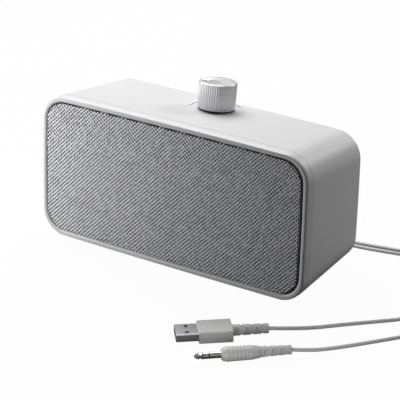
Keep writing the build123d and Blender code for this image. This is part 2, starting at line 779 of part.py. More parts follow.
def coil_profile(centre, grow):
    """Section of a put-away coil, or of the tie round it."""
    plane = Plane(origin=(*centre, coil_floor), x_dir=(1, 0, 0), z_dir=(0, -1, 0))
    with BuildSketch(plane) as face:
        with Locations((coil_middle_radius, coil_layers * cord_radius)):
            RectangleRounded(coil_columns * cord_pitch + 2 * grow, coil_layers * cord_pitch + 2 * grow,
                             cord_radius * 0.9 + grow)
    return face.sketch


tie_arc = degrees(tie_width / coil_middle_radius)
ties = []
for name, centre, rear, front in (("usb_cord", usb_coil_centre, usb_rear, usb_front),
                                  ("audio_cord", audio_coil_centre, audio_rear, audio_front)):
    rear_tube, rear_length = cord_tube(name, rear)
    front_tube, front_length = cord_tube(name, front)
    turns_length = coil_columns * coil_layers * 2 * pi * coil_middle_radius
    print(name, "whole length in metres", round((rear_length + front_length + turns_length) / 1000, 3))
    with BuildPart() as cord:
        add(rear_tube)
        add(front_tube)
    write(cord.part, name)
    upright = Axis((*centre, 0), (0, 0, 1))
    with BuildPart() as coil:
        revolve(coil_profile(centre, 0), axis=upright)
    write(coil.part, name + "_coil")
    with BuildPart() as tie:
        revolve(coil_profile(centre, tie_thickness), axis=upright, revolution_arc=tie_arc)
        revolve(coil_profile(centre, 0.03), axis=upright, revolution_arc=tie_arc, mode=Mode.SUBTRACT)
    ties.append(tie.part.rotate(upright, 215))
with BuildPart() as coil_ties:
    for band in ties:
        add(band)
write(coil_ties.part, "coil_ties")

# ---- USB-A plug ---------------------------------------------------------------
with BuildPart() as usb_shell:
    with BuildSketch(along(usb_tip, usb_angle, 0)):
        RectangleRounded(usb_width, usb_height, 0.4)
        Rectangle(usb_width - 2 * usb_wall, usb_height - 2 * usb_wall, mode=Mode.SUBTRACT)
    extrude(amount=usb_shell_length)
    for side in (-1, 1):
        hole_plane = along(usb_tip, usb_angle, usb_shell_length / 2 - usb_hole / 2)
        with BuildSketch(hole_plane):
            with Locations((side * usb_hole_reach, 0)):
                Rectangle(usb_hole, usb_height + 2)
        extrude(amount=usb_hole, mode=Mode.SUBTRACT)
write(usb_shell.part, "usb_shell")

usb_tongue_top = 0.0
with BuildPart() as usb_tongue:
    with BuildSketch(along(usb_tip, usb_angle, 0.6)):
        with Locations((0, (usb_tongue_top - usb_height / 2 + usb_wall + 0.05) / 2)):
            Rectangle(usb_width - 2 * usb_wall - 0.2, usb_tongue_top + usb_height / 2 - usb_wall - 0.05)
    extrude(amount=usb_shell_length - 0.6)
write(usb_tongue.part, "usb_tongue")

with BuildPart() as usb_contacts:
    with BuildSketch(along(usb_tip, usb_angle, 1.6)):
        with Locations(*[(x, usb_tongue_top + 0.1) for x in (-3.5, -1.0, 1.0, 3.5)]):
            Rectangle(1.0, 0.2)
    extrude(amount=8.0)
write(usb_contacts.part, "usb_contacts")

with BuildPart() as usb_grip:
    with BuildSketch(along(usb_tip, usb_angle, usb_shell_length)):
        RectangleRounded(usb_grip_width, usb_grip_height, 0.7)
    extrude(amount=usb_grip_length)
    plug_axis = Axis((0, 0, 0), along(usb_tip, usb_angle, 0).z_dir)
    ends = usb_grip.faces().sort_by(plug_axis)
    chamfer(ends[0].edges() + ends[-1].edges(), usb_grip_chamfer)
write(usb_grip.part, "usb_grip")


def strain_relief(tip, angle, start, length, radius, label):
    """Tapered sleeve with slots cut from its sides and from top and bottom in turn."""
    with BuildPart() as sleeve:
        with BuildSketch(along(tip, angle, start)):
            Circle(radius)
        with BuildSketch(along(tip, angle, start + length)):
            Circle(radius - relief_taper)
        loft()
        step = (length - 3.0) / (2 * relief_slots)
        for i in range(2 * relief_slots):
            reach = relief_core + radius
            offset = (reach, 0) if i % 2 == 0 else (0, reach)
            with BuildSketch(along(tip, angle, start + 1.6 + step * i)):
                with Locations(offset, (-offset[0], -offset[1])):
                    Rectangle(2 * radius, 2 * radius)
            extrude(amount=relief_slot_width, mode=Mode.SUBTRACT)
    write(sleeve.part, label)


strain_relief(usb_tip, usb_angle, usb_shell_length + usb_grip_length, relief_length,
              usb_relief_radius, "usb_relief")

# ---- 3.5 mm plug --------------------------------------------------------------
jack_along = along(jack_tip, jack_angle, 0)
jack_plane = Plane(origin=jack_tip, x_dir=(0, 0, 1), z_dir=jack_along.x_dir)
jack_axis = Axis(jack_tip, jack_along.z_dir)


def turned_on_jack(part_points):
    """Solid turned about the plug's axis from (radius, distance) points."""
    with BuildPart() as piece:
        with BuildSketch(jack_plane):
            with BuildLine():
                Polyline(*part_points, close=True)
            make_face()
        revolve(axis=jack_axis)
    return piece.part


jack_ring_starts = (4.2, 7.5)
insulator_length = 0.6
with BuildPart() as jack_contacts:
    add(turned_on_jack([
        (0, 0), (0.7, 0.1), (1.25, 1.1), (jack_radius, 2.2), (1.3, 3.0), (1.3, 3.3),
        (jack_radius, 3.8), (jack_radius, jack_ring_starts[0]), (0, jack_ring_starts[0])]))
    for low, high in ((jack_ring_starts[0] + insulator_length, jack_ring_starts[1]),
                      (jack_ring_starts[1] + insulator_length, jack_length)):
        add(turned_on_jack([(0, low), (jack_radius, low), (jack_radius, high), (0, high)]))
write(jack_contacts.part, "jack_contacts")

with BuildPart() as jack_insulators:
    for low in jack_ring_starts:
        high = low + insulator_length
        add(turned_on_jack([(0, low), (jack_radius, low), (jack_radius, high), (0, high)]))
write(jack_insulators.part, "jack_insulators")

grip_end = jack_length + jack_grip_length
write(turned_on_jack([
    (0, jack_length), (2.5, jack_length), (3.5, jack_length + 0.9), (jack_grip_radius, jack_length + 2.6),
    (jack_grip_radius, grip_end - 5.0), (jack_grip_radius - 0.3, grip_end - 3.5), (3.1, grip_end),
    (0, grip_end)]), "jack_grip")
strain_relief(jack_tip, jack_angle, grip_end, jack_relief_length, jack_relief_radius, "jack_relief")
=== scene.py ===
# %% [markdown]
# # A desktop speaker with a cloth front
#
# The object is one wide cabinet with two small drivers behind a woven grille,
# a fluted volume knob on its sloping top, and two leads: a USB-A plug for
# power and a 3.5 mm plug for sound.  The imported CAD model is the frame: it
# gives every place and size.  Blender adds what CAD can't show well, which is
# cloth, flutes, grooves, cords that lie as cords lie, and finishes.

import math

import bmesh
import bpy
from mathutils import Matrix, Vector


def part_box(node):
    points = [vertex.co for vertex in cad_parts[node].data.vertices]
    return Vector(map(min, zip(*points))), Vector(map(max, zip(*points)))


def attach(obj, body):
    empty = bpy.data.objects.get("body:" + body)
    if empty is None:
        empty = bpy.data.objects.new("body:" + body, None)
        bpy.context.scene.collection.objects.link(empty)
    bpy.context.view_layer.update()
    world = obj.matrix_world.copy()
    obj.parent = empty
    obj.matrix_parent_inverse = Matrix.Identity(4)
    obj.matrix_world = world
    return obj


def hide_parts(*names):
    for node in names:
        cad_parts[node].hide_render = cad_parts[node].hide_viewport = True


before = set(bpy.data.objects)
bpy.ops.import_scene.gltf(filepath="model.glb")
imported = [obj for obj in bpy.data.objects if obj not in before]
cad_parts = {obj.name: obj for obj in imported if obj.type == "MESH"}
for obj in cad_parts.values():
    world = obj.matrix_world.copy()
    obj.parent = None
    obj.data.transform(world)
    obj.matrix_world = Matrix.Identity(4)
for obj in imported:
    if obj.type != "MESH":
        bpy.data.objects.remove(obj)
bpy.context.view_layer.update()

# %% [markdown]
# ## Where things are
#
# The front face leans back a little and the top slopes down to the rear, so
# pieces on the front are placed by how far across, up and behind the front
# they are, and pieces on top by their place round the knob's axis.  Two small
# functions turn those into metres in the shared frame.

# %% Two ways to give a place
MM = 0.001
LEAN = math.radians(2.62)          # the front leans back by this
WIDTH, HEIGHT, DEPTH = 176.0, 86.0, 65.4
TOP_FALL = 9.5                     # the top runs down by this, front to rear
FOOT_HEIGHT = 1.8
MIDDLE = (DEPTH + (HEIGHT - TOP_FALL) * math.tan(LEAN)) / 2
SLOPE = math.atan(TOP_FALL / (DEPTH - TOP_FALL * math.tan(LEAN)))
TOP_UP = Vector((0, math.sin(SLOPE), math.cos(SLOPE)))
TOP_BACK = Vector((0, math.cos(SLOPE), -math.sin(SLOPE)))
KNOB_SETBACK = 46.7                # along the top, from its front edge
TOP_CROWN = 0.53                   # the top bulges by this
KNOB_CENTRE = (Vector((0, HEIGHT * math.tan(LEAN) - MIDDLE, FOOT_HEIGHT + HEIGHT))
               + TOP_BACK * KNOB_SETBACK + TOP_UP * TOP_CROWN) * MM


def on_front(across, up, behind):
    """Point on the leaning front, from millimetres."""
    return Vector((across,
                   up * math.sin(LEAN) + behind * math.cos(LEAN) - MIDDLE,
                   up * math.cos(LEAN) - behind * math.sin(LEAN) + FOOT_HEIGHT)) * MM


def on_top(radius, angle, up):
    """Point round the knob's axis, from millimetres and radians."""
    return KNOB_CENTRE + (Vector((radius * math.cos(angle), 0, 0))
                          + TOP_BACK * radius * math.sin(angle) + TOP_UP * up) * MM


print("knob axis meets the top at", [round(c / MM, 2) for c in KNOB_CENTRE], "mm")

# %% [markdown]
# ## Camera
#
# A long lens from well away keeps the cabinet's edges nearly parallel, which
# is how small goods are usually shown.  It looks down at the front from the
# right, so front, top and right side are all in view.

# %% Camera
camera_data = bpy.data.cameras.new("camera")
camera_data.sensor_width = 36.0
camera_data.lens = 177.1
camera_data.clip_start, camera_data.clip_end = 0.01, 20.0
camera = bpy.data.objects.new("camera", camera_data)
bpy.context.collection.objects.link(camera)
camera.location = (0.560128, -0.852297, 0.501221)
camera.rotation_euler = (math.pi / 2 - 0.4325, 0.0, 0.5819)
bpy.context.scene.camera = camera
bpy.context.scene.view_settings.view_transform = "Standard"
print("camera", round(camera.location.length, 2), "m away")

# %% [markdown]
# ## Helpers for finishes
#
# Colours are written as sRGB hex codes, because that is how paint charts and
# design tools give them, and turned to the linear values that a renderer
# adds up.  One function adds a node: it takes the kind, its settings, and
# what goes into its sockets, which may be plain values or other outputs.

# %% Colour and node helpers
COLOUR_A, COLOUR_B, COLOUR_OUT = 6, 7, 2   # the Mix node's colour sockets


def linear(code):
    """sRGB hex code to a linear colour with alpha."""
    parts = [int(code[i:i + 2], 16) / 255 for i in (1, 3, 5)]
    return [c / 12.92 if c <= 0.04045 else ((c + 0.055) / 1.055) ** 2.4 for c in parts] + [1.0]


def add_node(tree, kind, sockets=(), **settings):
    """Add a node, set its settings, and fill or link its sockets."""
    node = tree.nodes.new(kind)
    for name, value in settings.items():
        setattr(node, name, value)
    for name, value in dict(sockets).items():
        if isinstance(value, bpy.types.NodeSocket):
            tree.links.new(value, node.inputs[name])
        else:
            node.inputs[name].default_value = value
    return node


def new_material(name):
    """An empty material; returns it with its node tree."""
    made = bpy.data.materials.new(name)
    made.use_nodes = True
    made.node_tree.nodes.clear()
    return made, made.node_tree


def finish_material(tree, sockets):
    """Principled shader with these sockets, and the output."""
    shader = add_node(tree, "ShaderNodeBsdfPrincipled", sockets)
    add_node(tree, "ShaderNodeOutputMaterial", {"Surface": shader.outputs[0]})


dressed = set()                    # the CAD pieces that have their finish


def dress(material, *names):
    """Give a material to CAD nodes by name."""
    for name in names:
        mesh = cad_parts[name].data
        mesh.materials.clear()
        mesh.materials.append(material)
        dressed.add(name)


def to_object(name, grid, smooth=True):
    """Turn a finished bmesh into an object of the scene."""
    bmesh.ops.recalc_face_normals(grid, faces=grid.faces)
    mesh = bpy.data.meshes.new(name)
    grid.to_mesh(mesh)
    grid.free()
    if smooth:
        mesh.shade_smooth()
    made = bpy.data.objects.new(name, mesh)
    bpy.context.collection.objects.link(made)
    return made


def join_rings(grid, one, two):
    """Faces between two rings of as many points."""
    for k in range(len(one)):
        n = (k + 1) % len(one)
        grid.faces.new((one[k], one[n], two[n], two[k]))


print("a mid grey, #808080, is", round(linear("#808080")[0], 3), "in linear light")

# %% [markdown]
# ## Moulded ABS
#
# The cabinet is injection-moulded ABS, light grey, from a tool that was
# spark-eroded.  Such a tool leaves a fine even grain of about a third of a
# millimetre, which breaks up reflections so the surface looks soft.  ABS has
# an IOR near 1.54.  The grain is a bump from noise, and a second, far larger
# noise shifts the colour by a percent or two, as masterbatch does.
#
# The plugs and cords are PVC, and the board, felt, rubber and paper inside are
# drawn by the same function, with a grain, depth and gloss of their own.

# %% Moulded plastics
DRIFT_MM = 30.0                    # the colour drifts over about this
ROUGH_SWING = 0.04                 # the grain moves the roughness by this


def moulded(name, code, shade, grain_mm, grain_depth_mm, roughness, ior=1.54):
    """A moulded plastic: colour drifting to a near shade, and a fine grain."""
    made, tree = new_material(name)
    place = add_node(tree, "ShaderNodeTexCoord").outputs["Object"]
    drift = add_node(tree, "ShaderNodeTexNoise", {"Vector": place, "Scale": 1 / (DRIFT_MM * MM),
                                                 "Detail": 2.0})
    colour = add_node(tree, "ShaderNodeMix", {"Factor": drift.outputs["Fac"], COLOUR_A: linear(code),
                                              COLOUR_B: linear(shade)}, data_type="RGBA")
    grain = add_node(tree, "ShaderNodeTexNoise", {"Vector": place, "Scale": 1 / (grain_mm * MM),
                                                  "Detail": 2.0})
    rough = add_node(tree, "ShaderNodeMapRange", {"Value": grain.outputs["Fac"],
                                                  "To Min": roughness - ROUGH_SWING,
                                                  "To Max": roughness + ROUGH_SWING})
    bump = add_node(tree, "ShaderNodeBump", {"Height": grain.outputs["Fac"], "Strength": 1.0,
                                             "Distance": grain_depth_mm * MM})
    finish_material(tree, {"Base Color": colour.outputs[COLOUR_OUT], "Roughness": rough.outputs["Result"],
                           "IOR": ior, "Normal": bump.outputs["Normal"]})
    return made


cabinet_abs = moulded("abs_moulded_light_grey", "#D3D3D4", "#CFCFD0", 0.35, 0.010, 0.47)
plug_pvc = moulded("pvc_overmoulded_light_grey", "#BDBDBC", "#B9B9B8", 0.4, 0.008, 0.46, 1.53)
cord_pvc = moulded("pvc_extruded_light_grey", "#CFCFCE", "#CACAC9", 0.5, 0.004, 0.38, 1.53)
black_abs = moulded("abs_moulded_black", "#202022", "#1C1C1E", 0.35, 0.010, 0.55)
foot_rubber = moulded("rubber_pressed_black", "#26262A", "#222226", 0.3, 0.010, 0.72, 1.52)
felt = moulded("felt_pressed_dark", "#3A3A3D", "#2F2F32", 0.6, 0.15, 0.92, 1.5)
laminate = moulded("glass_epoxy_board_green", "#1F5A3A", "#1B5034", 0.6, 0.006, 0.35, 1.55)
dot_enamel = moulded("enamel_dark_red", "#7A2A2C", "#702427", 0.3, 0.002, 0.35, 1.5)
socket_resin = moulded("resin_moulded_white", "#E9E9E6", "#E3E3E0", 0.4, 0.004, 0.4, 1.55)
light_resin = moulded("acrylic_smoked", "#6F7276", "#666A6E", 0.4, 0.001, 0.18, 1.49)
print("plastics:", len([m for m in bpy.data.materials if "grey" in m.name]), "of them grey")

# %% [markdown]
# ## Metals
#
# The plug's shell is nickel-plated steel, rolled and folded, so it keeps fine
# lines along its length.  The 3.5 mm pin is turned and nickel-plated, nearly
# a mirror.  A metal keeps the default IOR, and its colour is its reflection.

# %% Metals
LINE_DEPTH_MM, LINE_STRENGTH = 0.003, 0.4


def metal(name, code, roughness, line_mm=(1.0, 1.0, 1.0), uneven=0.05, share=1.0):
    """A metal with fine lines, line_mm long along X, Y and Z; share is how metallic it is."""
    made, tree = new_material(name)
    place = add_node(tree, "ShaderNodeTexCoord").outputs["Object"]
    size = add_node(tree, "ShaderNodeMapping", {"Vector": place, "Scale": [1 / (m * MM) for m in line_mm]})
    lines = add_node(tree, "ShaderNodeTexNoise", {"Vector": size.outputs[0], "Scale": 1.0, "Detail": 2.0})
    rough = add_node(tree, "ShaderNodeMapRange", {"Value": lines.outputs["Fac"], "To Min": roughness - uneven,
                                                  "To Max": roughness + uneven})
    bump = add_node(tree, "ShaderNodeBump", {"Height": lines.outputs["Fac"], "Strength": LINE_STRENGTH,
                                             "Distance": LINE_DEPTH_MM * MM})
    finish_material(tree, {"Base Color": linear(code), "Metallic": share,
                           "Roughness": rough.outputs["Result"], "Normal": bump.outputs["Normal"]})
    return made


plug_steel = metal("steel_nickel_plated_satin", "#B9B9BB", 0.30, (0.5, 0.5, 0.2))
pin_nickel = metal("nickel_plated_polished", "#C8C6C2", 0.10, uneven=0.03)
gold = metal("gold_flashed", "#E2B65C", 0.22)
zinc_steel = metal("steel_zinc_plated", "#9C9EA2", 0.35)
copper = metal("copper_wire_enamelled", "#B4683C", 0.30, (5.0, 0.12, 0.12))
ferrite = moulded("ferrite_ground_dark", "#2B2B2D", "#252527", 0.2, 0.01, 0.6, 2.3)
rubber = moulded("rubber_moulded_surround", "#1E1E20", "#19191B", 0.3, 0.006, 0.6, 1.52)
paper = moulded("paper_pulp_pressed_black", "#2A2A2B", "#222223", 0.4, 0.03, 0.9, 1.5)
spider_linen = moulded("linen_phenolic_dipped", "#A87F4A", "#98713F", 0.5, 0.05, 0.8, 1.5)
print("materials so far:", len(bpy.data.materials))

# %% [markdown]
# ## Finishes on the CAD pieces
#
# The pieces whose shape the CAD model already gives keep that shape and only
# take a finish: the cabinet, the baffle and drivers behind the cloth, the
# board inside, the feet, and the plugs' small parts.  The last materials of
# the cell before are the drivers': ferrite, rubber, paper and dipped linen.

# %% CAD pieces take their finishes
dress(cabinet_abs, "cabinet_shell", "front_bezel")
dress(plug_pvc, "usb_grip", "usb_relief", "jack_relief", "cord_glands")
dress(black_abs, "grille_frame", "front_baffle", "divider", "amplifier_chip", "capacitors", "coil_ties",
      "jack_insulators", "usb_tongue")
dress(felt, "left_damping_felt", "right_damping_felt", "driver_gaskets")
dress(foot_rubber, "front_feet", "rear_feet")
dress(laminate, "amplifier_board")
dress(socket_resin, "wire_sockets")
dress(dot_enamel, "knob_dot")
dress(light_resin, "power_light")
dress(plug_steel, "usb_shell")
dress(pin_nickel, "jack_contacts")
dress(gold, "usb_contacts")
dress(zinc_steel, "driver_terminals", "driver_screws", "baffle_screws", "board_screws", "volume_pot",
      "pot_bushing", "pot_washer", "pot_nut", "pot_shaft", "left_basket", "right_basket",
      "left_top_plate", "right_top_plate", "left_yoke", "right_yoke")
dress(copper, "left_voice_coil", "right_voice_coil")
dress(ferrite, "left_magnet", "right_magnet")
dress(rubber, "left_surround", "right_surround")
dress(paper, "left_cone", "right_cone", "left_dust_cap", "right_dust_cap")
dress(spider_linen, "left_spider", "right_spider")
print("CAD pieces dressed:", len(dressed))

# %% [markdown]
# ## Grille cloth
#
# The cloth is a plain weave of polyester: white yarn runs up, black yarn runs
# across, and each passes over and under the other in turn.  So each crossing
# shows white or black, like a draughts board turned by the eye into diagonal
# rows of white dots.  The yarns lie about a millimetre apart; they are drawn a
# little coarser here, so that both diagonals show.
#
# A grid of points, three to each yarn, is pushed in and out to follow the
# yarns over and under.  At its edge the cloth rolls over the grille frame and
# runs back along it, as cloth that is glued behind does.

# %% The weave's shape
YARN = 1.16                        # from one yarn to the next, mm
STEPS = 3                          # grid points to each yarn
CLOTH_FRONT = 0.32                 # the cloth lies this far behind the rim
RIM_LEFT, RIM_RIGHT = 3.5, 4.35    # cloth's edge from the cabinet's sides
RIM_LOW, RIM_HIGH = 3.95, 4.3      # and from its base and top
CLOTH_CORNER = 12.0                # radius of its corners
SIDE_CROWN = 0.42                  # each side bulges by this
ROLL = 0.90                        # the cloth's edge rolls back with this radius
SKIRT = 1.6                        # and runs back this far
WAVE = 0.28                        # a yarn rises and falls by this
EDGE_WAVE = 0.3                    # share of the weave that is left at the edge
EDGE_REACH = 0.75                  # a point this share of a step outside is drawn in
NUDGE = 0.01                       # step for measuring the edge's slope, mm

front_height = HEIGHT / math.cos(LEAN)
cloth_half = (WIDTH - RIM_LEFT - RIM_RIGHT) / 2
cloth_centre = (RIM_LEFT - RIM_RIGHT) / 2
cloth_mid = (RIM_LOW + front_height - RIM_HIGH) / 2
cloth_rise = (front_height - RIM_LOW - RIM_HIGH) / 2
print("cloth:", round(2 * cloth_half, 1), "by", round(2 * cloth_rise, 1), "mm")


def from_edge(x, v):
    """How far a point on the front lies inside the cloth's edge, mm."""
    side = cloth_half + SIDE_CROWN * (1 - ((v - cloth_mid) / cloth_rise) ** 2)
    top = cloth_rise + TOP_CROWN * (1 - (x / cloth_half) ** 2)
    dx, dv = side - abs(x - cloth_centre), top - abs(v - cloth_mid)
    if dx < CLOTH_CORNER and dv < CLOTH_CORNER:
        return CLOTH_CORNER - math.hypot(CLOTH_CORNER - dx, CLOTH_CORNER - dv)
    return min(dx, dv)


def yarn_height(x, v):
    """How far the weave stands out at a point, mm."""
    column, row = math.floor(x / YARN), math.floor(v / YARN)
    a, b = x / YARN - column - 0.5, v / YARN - row - 0.5
    upright = (column + row) % 2 == 0
    across, along = (a, b) if upright else (b, a)
    round_yarn = math.sqrt(max(0.0, 1 - (across / 0.5) ** 2))
    return WAVE * (math.cos(math.pi * along) * round_yarn * 2 - 1)


# %% The cloth as a mesh
def woven_cloth():
    """Grid of points over the opening, with its edge rolled back."""
    step = YARN / STEPS
    columns = int(cloth_half / step) + 2
    rows = int(cloth_rise / step) + 2
    mesh = bmesh.new()
    points = {}
    for i in range(-columns, columns + 1):
        for j in range(-rows, rows + 1):
            x, v = cloth_centre + i * step, cloth_mid + j * step
            inside = from_edge(x, v)
            if inside < -step * EDGE_REACH:
                continue
            if inside < 0:                 # bring the point onto the edge
                for _ in range(3):
                    slope_x = (from_edge(x + NUDGE, v) - from_edge(x - NUDGE, v)) / (2 * NUDGE)
                    slope_v = (from_edge(x, v + NUDGE) - from_edge(x, v - NUDGE)) / (2 * NUDGE)
                    miss = from_edge(x, v)
                    x, v = x - slope_x * miss, v - slope_v * miss
                inside = 0.0
            roll = ROLL - math.sqrt(max(0.0, ROLL ** 2 - max(0.0, ROLL - inside) ** 2))
            height = yarn_height(x, v) * min(1.0, EDGE_WAVE + inside / ROLL)
            points[i, j] = mesh.verts.new(on_front(x, v, CLOTH_FRONT + roll - height))
    for (i, j), corner in points.items():
        others = [points.get(k) for k in ((i + 1, j), (i + 1, j + 1), (i, j + 1))]
        if all(others):
            mesh.faces.new((corner, *others))
    loose = [v for v in mesh.verts if not v.link_faces]
    bmesh.ops.delete(mesh, geom=loose, context="VERTS")
    border = [e for e in mesh.edges if e.is_boundary]
    skirt = bmesh.ops.extrude_edge_only(mesh, edges=border)["geom"]
    back = on_front(0, 0, SKIRT) - on_front(0, 0, 0)
    bmesh.ops.translate(mesh, vec=back, verts=[v for v in skirt if isinstance(v, bmesh.types.BMVert)])
    return to_object("grille_weave", mesh)


weave = woven_cloth()
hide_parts("grille_cloth")
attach(weave, "cabinet")
print("cloth faces:", len(weave.data.polygons), "yarns:", round(2 * cloth_half / YARN), "by",
      round(2 * cloth_rise / YARN))

# %% [markdown]
# ## The cloth's colour
#
# A checker with one square to each crossing gives white or black yarn.  Yarn
# is never even, so a noise with a grain of about one yarn lightens some
# crossings and darkens others, and a finer one stands for its fibres.  The
# fibres also catch light that grazes them, which is what sheen is for.

# %% Woven polyester
UNEVEN_MM, UNEVEN_LIFT = 1.6, 0.30   # size of the uneven patches, and how far they go
FIBRE_MM, FIBRE_DEPTH_MM = 0.12, 0.02


def woven_polyester():
    """White and black yarn by turns, uneven, with fine fibres."""
    made, tree = new_material("polyester_plain_weave_black_white")
    place = add_node(tree, "ShaderNodeTexCoord").outputs["Object"]
    split = add_node(tree, "ShaderNodeSeparateXYZ", {"Vector": place})
    across = add_node(tree, "ShaderNodeMath", {0: split.outputs["X"], 1: 1 / (YARN * MM)},
                      operation="MULTIPLY")
    # height up the leaning front, counted in yarns
    raised = add_node(tree, "ShaderNodeMath", {0: split.outputs["Z"], 1: -FOOT_HEIGHT * MM},
                      operation="ADD")
    upward = add_node(tree, "ShaderNodeMath", {0: raised.outputs[0], 1: 1 / (YARN * MM * math.cos(LEAN))},
                      operation="MULTIPLY")
    cell = add_node(tree, "ShaderNodeCombineXYZ", {"X": across.outputs[0], "Y": upward.outputs[0],
                                                   "Z": 0.5})
    crossing = add_node(tree, "ShaderNodeTexChecker", {"Vector": cell.outputs[0], "Color1": (1, 1, 1, 1),
                                                       "Color2": (0, 0, 0, 1), "Scale": 1.0})
    uneven = add_node(tree, "ShaderNodeTexNoise", {"Vector": place, "Scale": 1 / (UNEVEN_MM * MM),
                                                  "Detail": 1.0})
    lift = add_node(tree, "ShaderNodeMapRange", {"Value": uneven.outputs["Fac"], "From Min": 0.3,
                                                 "From Max": 0.7, "To Min": -UNEVEN_LIFT,
                                                 "To Max": UNEVEN_LIFT})
    shown = add_node(tree, "ShaderNodeMath", {0: crossing.outputs["Fac"], 1: lift.outputs["Result"]},
                     operation="ADD", use_clamp=True)
    colour = add_node(tree, "ShaderNodeMix", {"Factor": shown.outputs[0], COLOUR_A: linear("#121217"),
                                              COLOUR_B: linear("#FAFAFF")}, data_type="RGBA")
    fibre = add_node(tree, "ShaderNodeTexNoise", {"Vector": place, "Scale": 1 / (FIBRE_MM * MM),
                                                  "Detail": 2.0})
    bump = add_node(tree, "ShaderNodeBump", {"Height": fibre.outputs["Fac"], "Strength": 0.5,
                                             "Distance": FIBRE_DEPTH_MM * MM})
    finish_material(tree, {"Base Color": colour.outputs[COLOUR_OUT], "Roughness": 0.6, "IOR": 1.57,
                           "Sheen Weight": 0.2, "Sheen Roughness": 0.4, "Normal": bump.outputs["Normal"]})
    return made


weave.data.materials.append(woven_polyester())
print("cloth is", weave.data.materials[0].name, "with", YARN, "mm from yarn to yarn")

# %% [markdown]
# ## Volume knob
#
# The knob is turned from aluminium and anodised, with fine flutes round its
# side so that a finger grips it, a narrow rounded rim, and a flat face with an
# opening for the enamel dot.  One outline is swept round the axis; where the
# flutes are, its radius goes in and out.  Its metallic share is matched to the
# object.

# %% Knob
KNOB_RADIUS, KNOB_TOP, KNOB_FOOT = 10.8, 15.7, 0.5
FLUTES, FLUTE_DEPTH = 48, 0.40
PER_FLUTE = 8
BORE_RADIUS, BORE_TOP = 6.6, 4.4     # the hollow under the knob
DOT_OPENING, DOT_PIT, DOT_AROUND = 0.80, 0.5, 32


def turned_knob():
    """The knob, turned about its axis, with flutes and the dot's opening."""
    outline = [                    # radius, height above the top, share of the flutes' depth
        (BORE_RADIUS, BORE_TOP, 0), (BORE_RADIUS, KNOB_FOOT, 0), (10.3, KNOB_FOOT, 0), (10.5, 0.56, 0),
        (10.65, 0.72, 0.2), (10.75, 0.95, 0.7), (KNOB_RADIUS, 1.4, 1), (KNOB_RADIUS, 5.0, 1),
        (KNOB_RADIUS, 9.5, 1),
        (KNOB_RADIUS, 14.9, 1), (10.77, 15.15, 0.6), (10.7, 15.35, 0.2), (10.58, 15.52, 0),
        (10.4, 15.63, 0), (10.2, 15.68, 0), (9.95, KNOB_TOP, 0)]
    around = FLUTES * PER_FLUTE
    mesh = bmesh.new()
    rings = []
    for radius, height, share in outline:
        ring = []
        for k in range(around):
            angle = 2 * math.pi * k / around
            groove = FLUTE_DEPTH * share * (0.5 - 0.5 * math.cos(FLUTES * angle)) ** 2
            ring.append(mesh.verts.new(on_top(radius - groove, angle, height)))
        rings.append(ring)
    for below, above in zip(rings, rings[1:]):
        join_rings(mesh, below, above)
    middle = mesh.verts.new(on_top(0, 0, BORE_TOP))
    for k in range(around):
        mesh.faces.new((rings[0][k], rings[0][(k + 1) % around], middle))
    # the flat face, with a round opening for the enamel dot
    low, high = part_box("knob_dot")
    dot = (Vector(low) + Vector(high)) / 2
    dot_place = dot - TOP_UP * (dot - on_top(0, 0, KNOB_TOP)).dot(TOP_UP)
    across = Vector((1, 0, 0))
    rim, pit = [], []
    for k in range(DOT_AROUND):
        angle = 2 * math.pi * k / DOT_AROUND
        out = (across * math.cos(angle) + TOP_BACK * math.sin(angle)) * DOT_OPENING * MM
        rim.append(mesh.verts.new(dot_place + out))
        pit.append(mesh.verts.new(dot_place + out - TOP_UP * DOT_PIT * MM))
    edges = [mesh.edges.new((rim[k], rim[(k + 1) % DOT_AROUND])) for k in range(DOT_AROUND)]
    edges += [mesh.edges.get((rings[-1][k], rings[-1][(k + 1) % around])) for k in range(around)]
    bmesh.ops.triangle_fill(mesh, edges=edges, use_beauty=True)
    join_rings(mesh, rim, pit)
    mesh.faces.new(pit)
    return to_object("fluted_knob", mesh)


fluted_knob = turned_knob()
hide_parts("volume_knob")
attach(fluted_knob, "knob_body")
fluted_knob.data.materials.append(metal("aluminium_anodised_satin", "#D6D6D8", 0.34, (0.25, 0.25, 0.25),
                                        0.05, 0.72))
print("knob faces:", len(fluted_knob.data.polygons))

# %% [markdown]
# Under the knob a thin black plate fills the gap to the cabinet.  It is a
# painted shadow: a dark sheet where the gap holds only shade, so that the knob
# seems to stand on a dark line.  It turns with the knob and stays just
# clear of the dish that it turns in.

# %% Plate under the knob, a painted shadow
SHADOW_PLATE_AROUND = 96
SHADOW_PLATE_OUTLINE = ((6.7, 0.6), (6.7, -0.40), (10.1, -0.40), (10.3, -0.25), (10.3, 0.34), (10.1, 0.36))

plate = bmesh.new()
shadow_plate_rings = []
for radius, height in SHADOW_PLATE_OUTLINE:
    shadow_plate_rings.append([plate.verts.new(on_top(radius, 2 * math.pi * k / SHADOW_PLATE_AROUND, height))
                        for k in range(SHADOW_PLATE_AROUND)])
for ring, beside in zip(shadow_plate_rings, shadow_plate_rings[1:] + shadow_plate_rings[:1]):
    join_rings(plate, ring, beside)
# the black plate is a painted shadow: it stands in for the shade in the gap under the knob
knob_shadow_plate = to_object("knob_shadow_plate", plate, smooth=False)
knob_shadow_plate.data.materials.append(black_abs)
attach(knob_shadow_plate, "knob_body")
print("plate faces:", len(knob_shadow_plate.data.polygons))

# %% [markdown]
# ## The leads
#
# Each lead is a soft PVC cord, 2.1 mm thick, about a metre long.  It comes
# straight out of its gland, sinks to the desk, and runs to a small coil that
# takes up its spare length; from there it comes forward to its plug.  One
# NURBS spline is right for a cord, because it bends evenly, as a cord does.
# The coil's turns are more points of the same spline: five turns inward on
# the desk, then a little over four outward on top of them.

